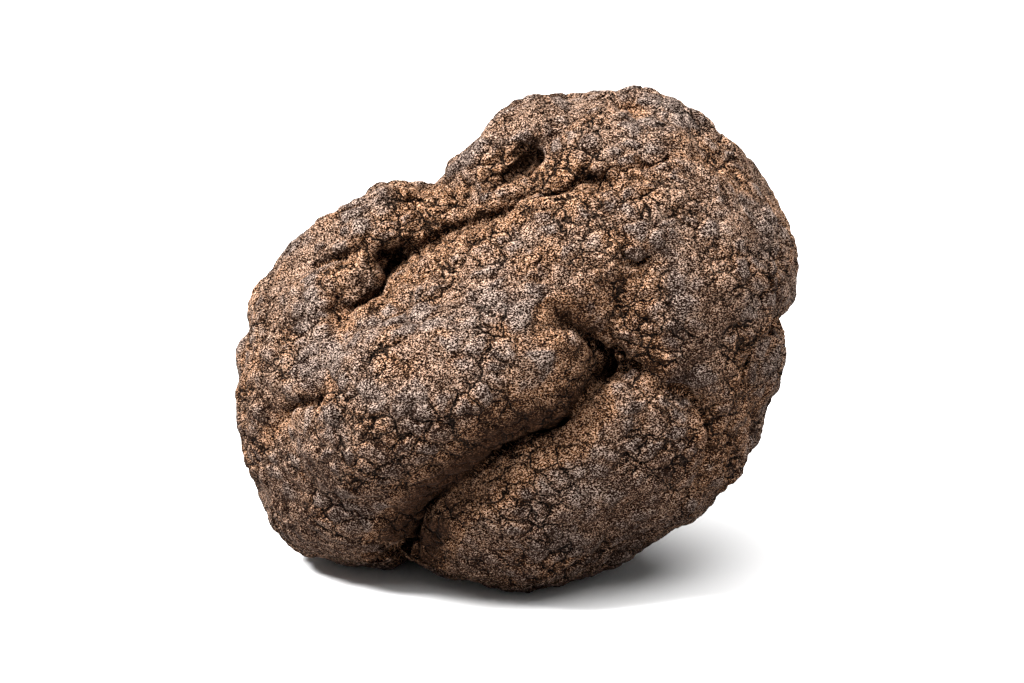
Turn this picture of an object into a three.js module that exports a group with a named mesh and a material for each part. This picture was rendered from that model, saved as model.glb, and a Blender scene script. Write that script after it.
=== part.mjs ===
// A wild black truffle, Tuber melanosporum, as it is lifted from the soil and brushed: one fruit body, grown
// as one solid piece. Several lobes have swollen into each other, so its skin folds in along the seams between
// them, sinks into small pits, and is covered all over with low many-sided warts. It has no stem, cap, root or
// shell.
//
// Units are millimetres. The finished part stands on +Z up, with its longest side along X and its face to -Y.
// Its origin is at the middle of the box round it, at the bottom. The lobes and folds are laid out in a face
// frame: u runs to the right, v up, and w out of the face towards a person who looks at it. The face then
// leans back, onto the flat spots that the truffle rests on.
import * as THREE from "three";
import { ImprovedNoise } from "three/addons/math/ImprovedNoise.js";
import { mergeVertices } from "three/addons/utils/BufferGeometryUtils.js";

// Driving dimensions.
const LENGTH = 65; // the longest side of the finished truffle
const LEAN_DEG = 14; // how far the face leans back
const REST_CUT = 1.2; // how much of the lowest lobes is pressed flat where they rest
const BLEND = 4.5; // how far lobes run into each other where they join
const SWELLING_SPACING = 13; // the broad unevenness of the flesh under the warts
const SWELLING_HEIGHT = 0.6;
const WART_SPACING = 4.8; // from the middle of one wart to the next
const WART_HEIGHT = 0.9; // from the seam between two warts to the top of one
const WART_SEAM = 0.3; // the part of a wart's width that slopes down to a seam
const WART_DOME = 1.6; // how fast its top rounds off

// How finely the skin is cut into triangles, and how it is evened out.
const SKIN_ROWS = 24; // rows of triangles along each side of the first icosahedron
const EVENING_ROUNDS = 40;
const CATCHING_ROUNDS = 4; // the last of those, which also draw points onto the bottoms of the folds
const EASING_ROUNDS = 2;
const SEAM_PULL = 1.5; // how much more closely the triangles lie along the folds
const SEAM_CATCH = 0.6; // points this near to the bottom of a fold are drawn onto it
const FOLD_STEP = 0.5; // from one place on a fold to the next
const FOLD_FACING = 0.75; // from 0, square into the skin, to 1, straight in from the side it is laid out on
const REACH = 60; // a distance that is outside the truffle on every side
const SLOPE_STEP = 0.05;

// The lobes: the middle, the half lengths along the lobe's own axes, and its turn about w, anticlockwise in
// degrees.
const LOBES = [
  { name: "core", at: [1.0, -5.0, 0], half: [21.0, 17.0, 17.5], turn: 38 },
  { name: "crown", at: [13.2, 6.8, -2], half: [16.2, 19.0, 19], turn: 45 },
  { name: "cheek", at: [15.7, 1.8, 1], half: [12.5, 13.5, 15.6], turn: 0 },
  { name: "flank", at: [9.6, -11.6, -1], half: [20.6, 14.4, 16], turn: 38 },
  { name: "left side", at: [-16.9, -7.9, -4], half: [14.5, 16.9, 16], turn: 0 },
  { name: "front finger", at: [-7.6, -8.2, 9.0], half: [16.6, 10.2, 12.4], turn: 24 },
  { name: "bridge", at: [6.0, 2.2, 1], half: [15.0, 11.4, 14.6], turn: 42 },
  { name: "top knob", at: [1.1, 14.8, -3], half: [10.0, 7.2, 12], turn: 38 },
  { name: "shoulder", at: [-14.9, 5.8, -3], half: [10.6, 7.8, 12], turn: 28 },
  { name: "left foot", at: [-16.0, -19.6, -4], half: [12.6, 8.9, 13], turn: -8 },
  { name: "front foot", at: [-0.2, -19.8, 3], half: [11.4, 9.6, 13], turn: 10 },
  { name: "back right", at: [10.0, 3.5, -13], half: [15.5, 17, 13.5], turn: 0 },
  { name: "back left", at: [-10.5, -6.5, -13], half: [15.5, 14.5, 12], turn: 30 },
  { name: "heel", at: [1.0, -15.2, -13], half: [14.5, 10.4, 11], turn: 4 },
];

// Where each side of the truffle is looked at from: the face frame's directions for right, up and to the eye.
const SIDES = {
  face: [new THREE.Vector3(1, 0, 0), new THREE.Vector3(0, 1, 0), new THREE.Vector3(0, 0, 1)],
  right: [new THREE.Vector3(0, 0, -1), new THREE.Vector3(0, 1, 0), new THREE.Vector3(1, 0, 0)],
  back: [new THREE.Vector3(-1, 0, 0), new THREE.Vector3(0, 1, 0), new THREE.Vector3(0, 0, -1)],
  left: [new THREE.Vector3(0, 0, 1), new THREE.Vector3(0, 1, 0), new THREE.Vector3(-1, 0, 0)],
  top: [new THREE.Vector3(1, 0, 0), new THREE.Vector3(0, 0, -1), new THREE.Vector3(0, 1, 0)],
  bottom: [new THREE.Vector3(1, 0, 0), new THREE.Vector3(0, 0, 1), new THREE.Vector3(0, -1, 0)],
};

// The folds and pits. Each is a route over one side, of [right, up, depth, half width].
const FOLDS = [
  {
    name: "seam under the finger",
    side: "face",
    route: [
      [-12.6, -26.6, 2.2, 2.6],
      [-11.0, -24.6, 3.2, 2.5],
      [-9.3, -21.0, 2.4, 2.3],
      [-7.2, -19.0, 1.0, 2.1],
      [-3.8, -16.6, 1.2, 2.1],
      [-1.3, -14.5, 2.4, 2.1],
      [1.6, -12.9, 3.6, 2.2],
      [4.0, -11.9, 3.4, 2.2],
      [5.6, -10.3, 2.0, 2.0],
      [6.9, -8.2, 1.8, 1.9],
      [9.7, -5.3, 5.4, 2.6],
      [8.0, -3.2, 2.2, 2.1],
      [6.5, -1.8, 1.4, 2.0],
      [4.9, -0.9, 0.7, 2.0],
    ],
  },
  {
    name: "seam between the feet",
    side: "bottom",
    route: [
      [-12.6, 5.0, 0.6, 2.6],
      [-12.4, 0.0, 0.8, 2.6],
      [-10.4, -6.0, 2.4, 2.6],
      [-6.0, -10.0, 1.2, 2.6],
    ],
  },
  {
    name: "right end of the seam's pit",
    side: "face",
    route: [
      [10.2, -5.2, 3.4, 2.2],
      [11.8, -5.6, 2.4, 2.0],
      [13.2, -6.6, 1.0, 1.9],
    ],
  },
  {
    name: "valley above the seam's pit",
    side: "face",
    route: [
      [9.7, -3.4, 1.6, 2.6],
      [10.3, -0.8, 0.9, 2.8],
      [11.4, 1.8, 0.6, 2.8],
      [12.4, 4.2, 0.3, 2.8],
    ],
  },
  {
    name: "seam over the finger",
    side: "face",
    route: [
      [-18.6, 0.3, 0.8, 2.2],
      [-16.8, 1.1, 1.5, 2.2],
      [-14.9, 2.0, 2.2, 2.2],
      [-13.4, 5.4, 4.8, 2.6],
      [-11.2, 6.6, 2.2, 2.1],
      [-8.2, 8.5, 1.5, 2.0],
      [-4.9, 9.9, 1.3, 2.0],
      [-1.6, 10.7, 1.4, 2.0],
      [1.2, 12.7, 1.5, 2.0],
      [3.6, 12.4, 1.3, 1.9],
      [6.2, 13.6, 1.1, 1.9],
      [7.9, 14.1, 2.6, 2.1],
      [10.1, 14.0, 1.2, 2.0],
      [13.3, 15.4, 0.6, 2.0],
    ],
  },
  {
    name: "hook round the small knob",
    side: "face",
    route: [
      [-1.2, 13.4, 1.2, 1.9],
      [1.2, 14.7, 2.0, 1.9],
      [2.7, 17.4, 4.4, 2.2],
      [1.0, 18.2, 2.6, 2.0],
      [-1.2, 16.2, 1.0, 2.0],
    ],
  },
  {
    name: "valley over the top",
    side: "face",
    route: [
      [6.4, 24.4, 1.4, 3.6],
      [5.5, 21.4, 1.1, 3.0],
      [4.4, 18.9, 1.3, 2.6],
      [3.2, 18.1, 1.2, 2.2],
    ],
  },
  {
    name: "crease under the notch",
    side: "face",
    route: [
      [-9.4, 14.2, 1.5, 2.8],
      [-6.7, 13.5, 1.1, 2.4],
      [-3.9, 12.9, 0.7, 2.2],
    ],
  },
  {
    name: "crease over the shoulder",
    side: "face",
    route: [
      [-14.0, 11.0, 0.5, 2.0],
      [-10.0, 11.7, 0.9, 2.0],
      [-6.7, 11.6, 0.5, 2.0],
    ],
  },
  {
    name: "pit in the crown",
    side: "face",
    route: [
      [12.5, 22.8, 1.2, 2.0],
      [13.2, 22.4, 1.6, 2.0],
    ],
  },
  {
    name: "crease over the left side",
    side: "face",
    route: [
      [-25.0, 4.2, 0.4, 2.2],
      [-21.0, 5.6, 1.1, 2.2],
      [-17.0, 6.7, 1.2, 2.2],
    ],
  },
  {
    name: "creases in the left side",
    side: "face",
    route: [
      [-20.5, -7.9, 0.9, 2.1],
      [-21.0, -9.4, 1.0, 2.1],
      [-23.5, -9.9, 1.1, 2.1],
      [-25.4, -12.1, 0.6, 2.1],
    ],
  },
  {
    name: "ridge's edge in the flank",
    side: "face",
    route: [
      [14.4, -7.2, 0.4, 2.2],
      [18.2, -9.1, 0.8, 2.2],
      [20.1, -13.7, 0.9, 2.2],
      [20.4, -17.0, 0.5, 2.2],
    ],
  },
  {
    name: "recess at the right",
    side: "right",
    route: [
      [13.0, 7.0, 0.6, 2.8],
      [7.6, 3.0, 1.4, 3.0],
      [1.6, -0.2, 0.5, 3.0],
      [-4.0, -1.2, 1.6, 2.6],
      [-8.2, -1.6, 0.8, 2.2],
    ],
  },
  {
    name: "seam over the back",
    side: "back",
    route: [
      [-20.0, -10.4, 0.8, 2.6],
      [-14.6, -8.6, 2.4, 2.6],
      [-9.0, -9.2, 3.6, 2.5],
      [-3.4, -7.6, 2.6, 2.4],
      [0.6, -3.2, 3.2, 2.4],
      [2.4, 2.6, 4.4, 2.6],
      [1.2, 8.4, 2.2, 2.4],
      [3.4, 13.6, 1.2, 2.4],
    ],
  },
  {
    name: "branch down the back",
    side: "back",
    route: [
      [-3.8, -7.8, 2.0, 2.4],
      [-1.2, -12.6, 2.6, 2.5],
      [1.4, -18.0, 1.6, 2.6],
      [2.0, -23.0, 1.4, 3.0],
    ],
  },
  {
    name: "pit in the back",
    side: "back",
    route: [
      [14.2, -1.8, 1.2, 2.2],
      [16.4, 0.4, 3.4, 2.4],
      [16.0, 3.2, 1.4, 2.2],
    ],
  },
  {
    name: "crease in the back",
    side: "back",
    route: [
      [-19.4, 9.6, 0.7, 2.2],
      [-14.2, 11.4, 1.6, 2.3],
      [-9.6, 10.0, 2.2, 2.3],
      [-6.2, 11.8, 0.8, 2.2],
    ],
  },
  {
    name: "fold round the left side",
    side: "left",
    route: [
      [-12.6, 3.6, 1.0, 2.6],
      [-8.0, 0.8, 2.4, 2.6],
      [-3.2, -1.4, 1.6, 2.4],
      [0.4, -6.0, 1.0, 2.3],
    ],
  },
  {
    name: "fold over the top",
    side: "top",
    route: [
      [-8.6, 8.6, 1.4, 2.6],
      [-2.6, 10.4, 2.4, 2.6],
      [3.6, 8.8, 2.8, 2.5],
      [8.8, 11.6, 1.0, 2.4],
    ],
  },
];

const noise = new ImprovedNoise();

/** Distance from a point to one lobe's skin, negative inside it. */
function lobeDistance({ at, half, turn }, point) {
  const angle = THREE.MathUtils.degToRad(turn);
  const [x, y, z] = [point.x - at[0], point.y - at[1], point.z - at[2]];
  const along = (x * Math.cos(angle) + y * Math.sin(angle)) / half[0];
  const across = (y * Math.cos(angle) - x * Math.sin(angle)) / half[1];
  const deep = z / half[2];
  const size = Math.hypot(along, across, deep);
  const slope = Math.hypot(along / half[0], across / half[1], deep / half[2]);
  return slope > 0 ? (size * (size - 1)) / slope : -Math.min(...half);
}

/** Two distances joined with a soft seam. */
function softJoin(a, b) {
  const shared = Math.max(BLEND - Math.abs(a - b), 0);
  return Math.min(a, b) - (shared * shared) / (4 * BLEND);
}

/** Distance to the lobes, run into one smooth body. */
function bodyDistance(point) {
  return LOBES.map((lobe) => lobeDistance(lobe, point)).reduce(softJoin);
}

/** The direction in which a distance grows fastest, not made unit length. */
function slopeOf(distance, point) {
  const probe = point.clone();
  const slope = new THREE.Vector3();
  for (const axis of ["x", "y", "z"]) {
    probe[axis] = point[axis] + SLOPE_STEP;
    const ahead = distance(probe);
    probe[axis] = point[axis] - SLOPE_STEP;
    slope[axis] = (ahead - distance(probe)) / (2 * SLOPE_STEP);
    probe[axis] = point[axis];
  }
  return slope;
}

/** The first point of the body that a ray meets, coming in from outside against the direction given. */
function firstTouch(through, outward) {
  const point = through.clone().addScaledVector(outward, REACH);
  for (let travelled = 0; travelled < 2 * REACH; ) {
    const left = bodyDistance(point);
    if (left < 1e-3) break;
    const step = 0.6 * left + 1e-3;
    point.addScaledVector(outward, -step);
    travelled += step;
  }
  return point;
}

/** The depth and half width of a fold, this far from one end of its route to the other. */
function sizeOnRoute(route, share) {
  const stop = share * (route.length - 1);
  const before = Math.min(Math.floor(stop), route.length - 2);
  const [from, to] = [route[before], route[before + 1]];
  return [2, 3].map((k) => THREE.MathUtils.lerp(from[k], to[k], stop - before));
}

/** A fold's route as close places on the body: where, which way along it and in, how deep and how wide. */
function traceFold({ side, route }) {
  const [right, up, out] = SIDES[side];
  const onSkin = route.map(([r, u]) =>
    firstTouch(new THREE.Vector3().addScaledVector(right, r).addScaledVector(up, u), out),
  );
  const path = new THREE.CatmullRomCurve3(onSkin, false, "centripetal");
  const count = Math.ceil(path.getLength() / FOLD_STEP);
  return Array.from({ length: count + 1 }, (_, i) => {
    const [depth, width] = sizeOnRoute(route, path.getUtoTmapping(i / count));
    const at = path.getPointAt(i / count);
    const along = path.getTangentAt(i / count);
    const inward = slopeOf(bodyDistance, at).normalize().lerp(out, FOLD_FACING).normalize().negate();
    return { at, along, inward, depth, width };
  });
}

const foldPlaces = FOLDS.flatMap(traceFold);

/** The fold at a point: how it sinks, how near its bottom is from 0 to 1, and the way off it sideways. */
function foldAt(point) {
  const fold = { sink: new THREE.Vector3(), nearness: 0, aside: new THREE.Vector3() };
  let deepest = 0;
  const offset = new THREE.Vector3();
  for (const place of foldPlaces) {
    offset.subVectors(point, place.at);
    const inside = offset.dot(place.inward);
    const away = Math.sqrt(Math.max(offset.lengthSq() - inside * inside, 0));
    if (away >= place.width || Math.abs(inside) > 2 * place.width) continue;
    const near = 1 - (away / place.width) ** 2;
    const depth = place.depth * near * near;
    if (depth > deepest) {
      deepest = depth;
      fold.sink.copy(place.inward).multiplyScalar(depth);
    }
    if (near > fold.nearness) {
      fold.nearness = near;
      fold.aside.copy(offset).addScaledVector(place.inward, -inside);
      fold.aside.addScaledVector(place.along, -offset.dot(place.along));
    }
  }
  return fold;
}

/** The broad unevenness of the flesh at a point. */
function swellingAt(point) {
  const s = SWELLING_SPACING;
  return SWELLING_HEIGHT * noise.noise(point.x / s + 7.3, point.y / s + 2.1, point.z / s + 4.7) * 2;
}

/** Distance to the flesh, before its folds and warts. */
function fleshDistance(point) {
  return bodyDistance(point) - swellingAt(point);
}

/** A repeatable number from 0 to 1 for a cell of a grid. */
function cellNumber(i, j, k, salt) {
  let h = (i * 374761393 + j * 668265263 + k * 2147483647 + salt * 1274126177) | 0;
  h = Math.imul(h ^ (h >>> 13), 1274126177);
  h = Math.imul(h ^ (h >>> 16), 1911520717);
  return ((h ^ (h >>> 15)) >>> 0) / 4294967296;
}

/** The middles of the warts round a place, one scattered in each box of a grid, counted in wart spacings. */
function wartsNear(place) {
  const [i0, j0, k0] = place.toArray().map(Math.floor);
  const middles = [];
  for (let i = i0 - 1; i <= i0 + 1; i++) {
    for (let j = j0 - 1; j <= j0 + 1; j++) {
      for (let k = k0 - 1; k <= k0 + 1; k++) {
        const [x, y, z] = [1, 2, 3].map((salt) => cellNumber(i, j, k, salt));
        middles.push(new THREE.Vector3(i + x, j + y, k + z));
      }
    }
  }
  return middles;
}

/** Height of the wart that a point is on: a low dome with a seam where the next wart is as near. */
function wartAt(point) {
  const place = point.clone().divideScalar(WART_SPACING);
  const [first, second] = wartsNear(place)
    .map((middle) => middle.distanceTo(place))
    .sort((a, b) => a - b);
  const seam = THREE.MathUtils.smoothstep(second - first, 0, 2 * WART_SEAM);
  const dome = Math.max(1 - WART_DOME * first * first, 0);
  return WART_HEIGHT * (0.5 * seam + 0.5 * dome);
}

/** The triangles of the skin, first on a ball round the truffle's middle. */
function ballOfTriangles() {
  const ball = new THREE.IcosahedronGeometry(1, SKIN_ROWS - 1);
  ball.deleteAttribute("normal");
  ball.deleteAttribute("uv");
  return mergeVertices(ball, 1e-4);
}

/** The points that each point shares an edge with. */
function neighboursOf(geometry) {
  const neighbours = Array.from({ length: geometry.attributes.position.count }, () => new Set());
  const corners = geometry.index.array;
  for (let t = 0; t < corners.length; t += 3) {
    for (const [a, b] of [[0, 1], [1, 2], [2, 0]]) {
      neighbours[corners[t + a]].add(corners[t + b]);
      neighbours[corners[t + b]].add(corners[t + a]);
    }
  }
  return neighbours.map((set) => [...set]);
}

/** Moves a point onto the surface where a distance is nought, by short steps down its slope. */
function drop(point, distance, steps) {
  for (let i = 0; i < steps; i++) {
    const slope = slopeOf(distance, point);
    const step = THREE.MathUtils.clamp(distance(point) / slope.lengthSq(), -0.8, 0.8);
    point.addScaledVector(slope, -step);
  }
}

/** The middle of the points round one point. The further ones pull harder, as do those with a high pull. */
function middleOf(points, i, around, pulls) {
  const middle = new THREE.Vector3();
  let total = 0;
  for (const n of around) {
    const weight = pulls[n] * points[n].distanceTo(points[i]);
    middle.addScaledVector(points[n], weight);
    total += weight;
  }
  return middle.divideScalar(total);
}

/** Evens out points on the flesh, closer along the folds, and at last draws the nearest onto their bottoms. */
function evenOut(points, neighbours, round) {
  const folds = points.map(foldAt);
  const pulls = folds.map((fold) => 1 + SEAM_PULL * fold.nearness);
  const catching = round > EVENING_ROUNDS - CATCHING_ROUNDS;
  return points.map((point, i) => {
    const moved = point.clone().lerp(middleOf(points, i, neighbours[i], pulls), 0.5);
    if (catching && folds[i].aside.length() < SEAM_CATCH) moved.addScaledVector(folds[i].aside, -1);
    drop(moved, fleshDistance, 2);
    return moved;
  });
}

/** Sinks the points into the folds, and eases the walls of the folds. */
function foldIn(points, neighbours) {
  const folds = points.map(foldAt);
  const even = points.map(() => 1);
  let sunk = points.map((point, i) => point.clone().add(folds[i].sink));
  for (let round = 0; round < EASING_ROUNDS; round++) {
    sunk = sunk.map((point, i) =>
      point.clone().lerp(middleOf(sunk, i, neighbours[i], even), 0.5 * Math.min(2 * folds[i].nearness, 1)),
    );
  }
  return sunk;
}

/** Writes the points back into the triangles. */
function place(points, { attributes }) {
  points.forEach((point, i) => attributes.position.setXYZ(i, point.x, point.y, point.z));
}

/** Fits the triangles to the flesh, folds them in, and raises the warts. */
function growSkin(geometry) {
  const { position } = geometry.attributes;
  const neighbours = neighboursOf(geometry);
  const middle = new THREE.Vector3();
  const rays = neighbours.map((_, i) => new THREE.Vector3().fromBufferAttribute(position, i));
  let points = rays.map((ray) => firstTouch(middle, ray));
  for (let round = 1; round <= EVENING_ROUNDS; round++) points = evenOut(points, neighbours, round);
  const heights = points.map((point) => wartAt(point) * (1 - foldAt(point).nearness));
  points = foldIn(points, neighbours);
  place(points, geometry);
  geometry.computeVertexNormals();
  points.forEach((point, i) => {
    const outward = new THREE.Vector3().fromBufferAttribute(geometry.attributes.normal, i);
    point.addScaledVector(outward, heights[i]);
  });
  place(points, geometry);
}

/** Leans the face back, presses the lowest places flat, and brings the part to its origin and size. */
function setDown(geometry) {
  geometry.applyMatrix4(new THREE.Matrix4().makeRotationX(THREE.MathUtils.degToRad(90 - LEAN_DEG)));
  geometry.computeBoundingBox();
  const position = geometry.attributes.position;
  const floor = geometry.boundingBox.min.z + REST_CUT;
  for (let i = 0; i < position.count; i++) position.setZ(i, Math.max(position.getZ(i), floor));
  geometry.computeBoundingBox();
  const { min, max } = geometry.boundingBox;
  geometry.translate(-(min.x + max.x) / 2, -(min.y + max.y) / 2, -floor);
  const size = LENGTH / (max.x - min.x);
  geometry.scale(size, size, size);
}

const skin = ballOfTriangles();
growSkin(skin);
setDown(skin);
skin.computeVertexNormals();

const truffle = new THREE.Mesh(
  skin,
  new THREE.MeshStandardMaterial({ color: 0x6b5446, roughness: 0.95, metalness: 0 }),
);
truffle.name = "truffle";

const part = new THREE.Group();
part.add(truffle);

export default part;
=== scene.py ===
"""A ripe black truffle resting on a pale studio floor.

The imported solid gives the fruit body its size, its lobes and its folds. This script covers it with one
finer piece, the peridium, which is the skin with its narrow creases, warts, cracks and granules. Then it sets
up the floor, the lights and the camera.
"""
import logging
import math
from dataclasses import dataclass, field
from enum import Enum

import bpy
from mathutils import Matrix, Vector


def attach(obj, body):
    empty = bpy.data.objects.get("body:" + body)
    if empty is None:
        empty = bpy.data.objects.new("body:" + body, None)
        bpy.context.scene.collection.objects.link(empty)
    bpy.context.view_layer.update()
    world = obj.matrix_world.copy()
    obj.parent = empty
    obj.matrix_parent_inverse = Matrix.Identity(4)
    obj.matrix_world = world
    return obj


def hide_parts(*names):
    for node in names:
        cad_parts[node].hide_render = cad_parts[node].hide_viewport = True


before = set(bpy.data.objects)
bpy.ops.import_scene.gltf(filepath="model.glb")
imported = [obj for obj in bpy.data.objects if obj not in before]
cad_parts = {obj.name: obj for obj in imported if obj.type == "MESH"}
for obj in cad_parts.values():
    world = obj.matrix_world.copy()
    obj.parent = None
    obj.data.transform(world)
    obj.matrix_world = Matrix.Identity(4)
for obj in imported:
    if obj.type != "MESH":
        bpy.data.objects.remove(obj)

MM = 0.001

# Blender's names for the kinds of node that are used most.
MATH = "ShaderNodeMath"
VECTOR_MATH = "ShaderNodeVectorMath"
MAP_RANGE = "ShaderNodeMapRange"
NOISE = "ShaderNodeTexNoise"
VORONOI = "ShaderNodeTexVoronoi"
MIX = "ShaderNodeMix"
POSITION = "GeometryNodeInputPosition"
SET_POSITION = "GeometryNodeSetPosition"
STORE = "GeometryNodeStoreNamedAttribute"

# The numbers of a Mix node's sockets when it mixes colours.
MIX_SHARE = 0
MIX_UNDER = 6
MIX_OVER = 7
MIX_RESULT = 2

Feed = bpy.types.Node | bpy.types.NodeSocket
Place = tuple[float, float, float, float]
log = logging.getLogger("truffle")


class Trait(Enum):
    """What a mesh remembers at each point, as its name and its form.

    The skin keeps where it lay before the relief, how deep it lies, how far it faces up and how deep a valley
    it is in, for its colours. The sheets along the creases keep pinch, cut, valley and the way inwards.
    """

    BARE = ("bare", "FLOAT_VECTOR")
    HOLLOW = ("hollow", "FLOAT")
    UPWARD = ("upward", "FLOAT")
    VALLEY = ("valley", "FLOAT")
    PINCH = ("pinch", "FLOAT")
    CUT = ("cut", "FLOAT")
    INWARD = ("inward", "FLOAT_VECTOR")

    @property
    def label(self) -> str:
        """Gives the name that the mesh keeps it under."""
        return self.value[0]

    @property
    def settings(self) -> dict[str, str]:
        """Gives the settings of a node that stores it or reads it back."""
        label, form = self.value
        return {"data_type": form, "Name": label}


@dataclass(frozen=True)
class Ramp:
    """How one value follows another: softly from first to last, as the other goes from start to end."""

    start: float
    end: float
    first: float = 0.0
    last: float = 1.0

    @property
    def settings(self) -> dict[str, str | float]:
        """Gives the settings of a Map Range node that follows it."""
        return {
            "interpolation_type": "SMOOTHSTEP",
            "From Min": self.start,
            "From Max": self.end,
            "To Min": self.first,
            "To Max": self.last,
        }


def linear(srgb: str) -> tuple[float, float, float, float]:
    """Turns an sRGB hex colour into linear light.

    Args:
        srgb: The colour, such as "#8a7060".

    Returns:
        Red, green, blue and alpha.
    """
    values = [int(srgb[i : i + 2], 16) / 255 for i in (1, 3, 5)]
    red, green, blue = [v / 12.92 if v <= 0.04045 else ((v + 0.055) / 1.055) ** 2.4 for v in values]
    return red, green, blue, 1.0


def add_node(
    tree: bpy.types.NodeTree,
    kind: str,
    settings: dict[str | int, object] | None = None,
    links: dict[str | int, Feed] | None = None,
) -> bpy.types.Node:
    """Adds a node with its settings and links.

    Args:
        tree: The material or geometry tree that it joins.
        kind: Blender's name for the node.
        settings: Its properties by name, and its unlinked inputs by name or number.
        links: What feeds its inputs, by name or number: a node, for its first output, or an output.

    Returns:
        The new node.
    """
    node = tree.nodes.new(kind)
    for name, value in (settings or {}).items():
        if isinstance(name, str) and hasattr(node, name):
            setattr(node, name, value)
        else:
            node.inputs[name].default_value = value
    for name, source in (links or {}).items():
        output = source.outputs[0] if isinstance(source, bpy.types.Node) else source
        tree.links.new(output, node.inputs[name])
    return node


def new_geometry_tree(name: str) -> bpy.types.NodeTree:
    """Starts a tree of geometry nodes that takes in a mesh and gives one back."""
    tree = bpy.data.node_groups.new(name, "GeometryNodeTree")
    for way in ("INPUT", "OUTPUT"):
        tree.interface.new_socket("Geometry", in_out=way, socket_type="NodeSocketGeometry")
    return tree


def select_only(piece: bpy.types.Object) -> None:
    """Selects one object and makes it active."""
    bpy.ops.object.select_all(action="DESELECT")
    piece.select_set(True)
    bpy.context.view_layer.objects.active = piece


def apply_modifier(piece: bpy.types.Object, kind: str, settings: dict[str, object]) -> None:
    """Adds a modifier to a piece and applies it.

    Args:
        piece: The piece to change.
        kind: Blender's name for the modifier.
        settings: The modifier's properties by name.
    """
    modifier = piece.modifiers.new(kind.lower(), kind)
    for name, value in settings.items():
        setattr(modifier, name, value)
    select_only(piece)
    bpy.ops.object.modifier_apply(modifier=modifier.name)


class Side(Enum):
    """A side that creases are laid out on: its right, up and out, before the face leans back."""

    FACE = ((1, 0, 0), (0, 1, 0), (0, 0, 1))
    RIGHT = ((0, 0, -1), (0, 1, 0), (1, 0, 0))
    BACK = ((-1, 0, 0), (0, 1, 0), (0, 0, -1))
    LEFT = ((0, 0, 1), (0, 1, 0), (-1, 0, 0))
    TOP = ((1, 0, 0), (0, 0, -1), (0, 1, 0))
    BOTTOM = ((1, 0, 0), (0, 0, 1), (0, -1, 0))


@dataclass(frozen=True)
class Crease:
    """A narrow crease over one side, as places of right, up, pinch and cut. Lengths are in millimetres.

    Pinch is how far the two walls are drawn together, from 0 to 1, and cut is how much deeper the bottom
    gets. The valley is how deep the broad valley round the crease is, at its start and towards its end.
    """

    side: Side
    route: tuple[Place, ...]
    valley: tuple[float, float] = (0.3, 0.3)


SEAM_UNDER_FINGER = Crease(
    Side.FACE,
    (
        (-12.6, -26.6, 0.4, 1.8),
        (-11.0, -24.6, 0.6, 2.6),
        (-9.3, -21.0, 0.9, 1.9),
        (-7.2, -19.0, 0.4, 0.1),
        (-3.8, -16.6, 0.45, 0.1),
        (-1.3, -14.5, 1.0, 1.0),
        (1.6, -12.9, 1.0, 2.0),
        (4.4, -12.1, 0.9, 1.8),
        (5.8, -10.9, 0.7, 0.2),
        (7.2, -8.9, 0.6, 0.1),
        (8.9, -7.2, 0.6, 0.4),
        (10.4, -5.2, 0.3, 3.2),
        (8.3, -3.1, 0.9, 0.8),
        (6.5, -1.8, 1.0, 0.6),
        (4.9, -0.9, 0.6, 0.0),
    ),
    valley=(1.5, 0.6),
)
SEAM_BETWEEN_FEET = Crease(
    Side.BOTTOM,
    ((-12.6, 5.0, 0.6, 0.4), (-12.4, 0.0, 0.8, 0.4), (-10.4, -6.0, 1.0, 1.0), (-6.0, -10.0, 0.6, 0.4)),
)
PIT_RIGHT_END = Crease(
    Side.FACE,
    ((10.8, -5.0, 0.3, 2.8), (12.2, -5.6, 0.9, 1.2), (13.2, -6.4, 0.8, 0.8), (14.4, -7.2, 0.4, 0.3)),
)
VALLEY_ABOVE_PIT = Crease(
    Side.FACE,
    ((9.7, -3.4, 0.5, 0.8), (10.3, -0.8, 0.5, 0.3), (11.4, 1.8, 0.4, 0.1), (12.4, 4.2, 0.2, 0.0)),
)
SEAM_OVER_FINGER = Crease(
    Side.FACE,
    (
        (-18.6, 0.3, 0.5, 0.3),
        (-16.8, 1.1, 0.9, 0.8),
        (-14.9, 2.0, 1.0, 1.0),
        (-14.2, 3.8, 1.0, 1.0),
        (-13.4, 5.4, 0.4, 2.4),
        (-11.2, 6.6, 0.6, 0.2),
        (-8.2, 8.5, 0.45, 0.1),
        (-4.9, 9.9, 0.5, 0.1),
        (-1.6, 10.7, 0.6, 0.2),
        (1.2, 12.7, 0.9, 0.6),
        (2.4, 13.1, 1.0, 0.8),
        (3.6, 12.4, 1.0, 0.7),
        (6.2, 13.6, 0.8, 0.4),
        (7.6, 14.3, 0.4, 0.6),
        (9.6, 14.0, 0.3, 0.1),
        (12.6, 15.2, 0.3, 0.1),
    ),
    valley=(0.4, 0.4),
)
PIT_ABOVE_FINGER_END = Crease(
    Side.FACE,
    ((9.4, -3.9, 0.1, 1.4), (11.0, -4.2, 0.1, 2.6), (11.6, -5.6, 0.1, 1.8), (11.4, -6.8, 0.1, 0.8)),
)
PIT_BESIDE_FINGER_END = Crease(
    Side.FACE,
    ((11.0, -4.8, 0.1, 1.4), (12.8, -5.6, 0.1, 2.0), (14.6, -6.3, 0.1, 0.9)),
)
PIT_LEFT_OF_SEAM = Crease(
    Side.FACE,
    ((-15.4, 5.6, 0.1, 0.8), (-14.0, 6.2, 0.1, 2.4), (-12.4, 6.8, 0.1, 2.2), (-11.0, 7.4, 0.1, 0.6)),
)
HOOK_ROUND_KNOB = Crease(
    Side.FACE,
    (
        (-1.2, 13.4, 0.8, 0.8),
        (1.2, 14.7, 1.0, 1.0),
        (2.2, 15.9, 1.0, 1.0),
        (2.7, 17.4, 0.7, 1.8),
        (1.0, 18.2, 0.8, 1.2),
        (-1.2, 16.2, 0.7, 0.3),
    ),
)
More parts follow.
